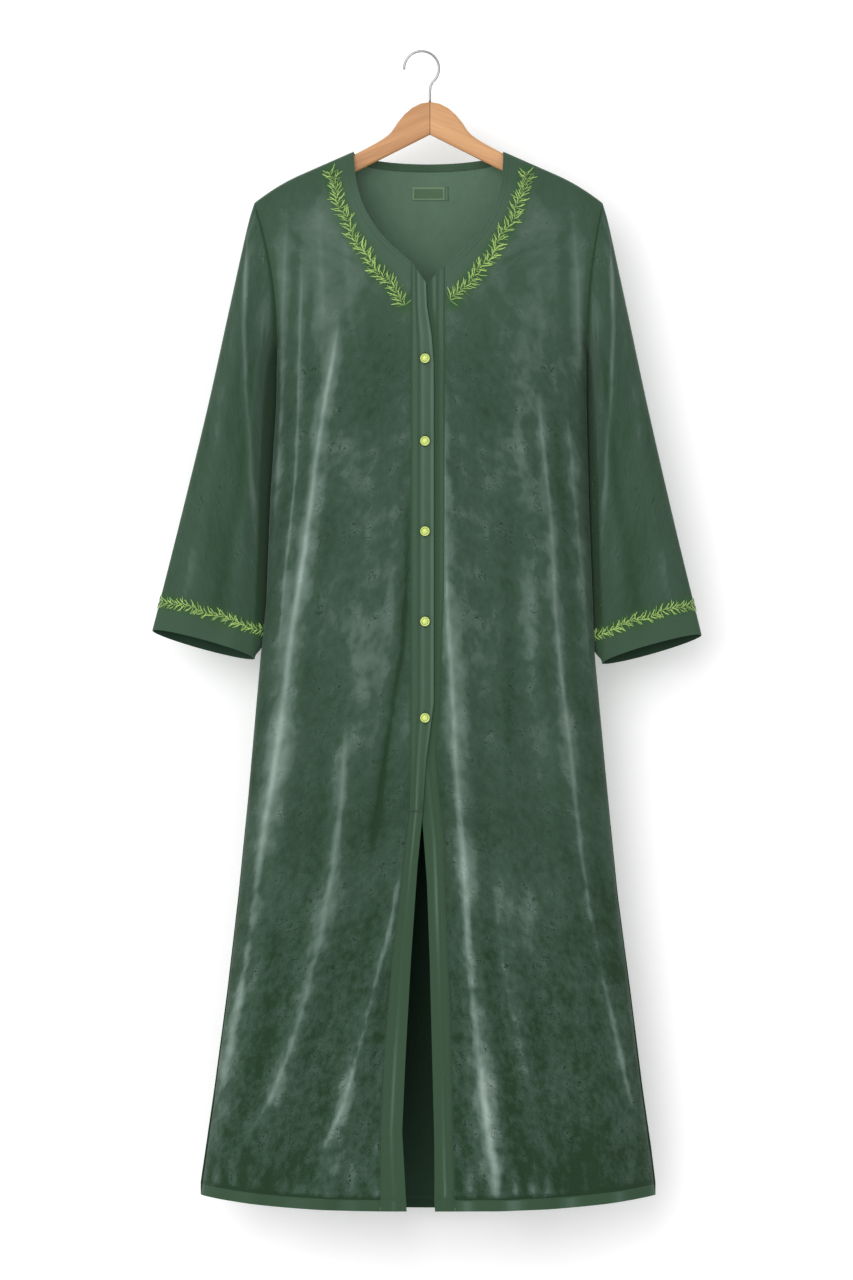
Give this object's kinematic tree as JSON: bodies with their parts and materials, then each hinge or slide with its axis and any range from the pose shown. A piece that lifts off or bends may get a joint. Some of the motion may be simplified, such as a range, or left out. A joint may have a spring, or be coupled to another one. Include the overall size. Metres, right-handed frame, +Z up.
{
  "type": "velvet abaya on a wooden hanger",
  "caption": "Ankle-length green velvet abaya with a buttoned front, an open lower slit and straight sleeves, hung on a flat wooden hanger with a steel hook.",
  "frame": {"origin": "inside of the hook's crown, where a rail carries the hanger", "axes": "+Z up, +X to the viewer's right, the garment's front faces -Y"},
  "size_m": [0.726, 0.1598, 1.5322],
  "materials": {
    "velvet": "matt with sheen",
    "facing": "matt",
    "label": "matt",
    "pearl": "gloss",
    "wood": "satin lacquer",
    "steel": "polished"
  },
  "bodies": {
    "root": {"front_right": "velvet", "front_left": "velvet", "back": "velvet", "sleeve_right": "velvet", "sleeve_left": "velvet", "band_right": "facing", "band_left": "facing", "neck_binding": "facing", "label": "label", "button_1": "pearl", "button_2": "pearl", "button_3": "pearl", "button_4": "pearl", "button_5": "pearl", "hanger": "wood", "hook": "steel"}
  },
  "joints": []
}
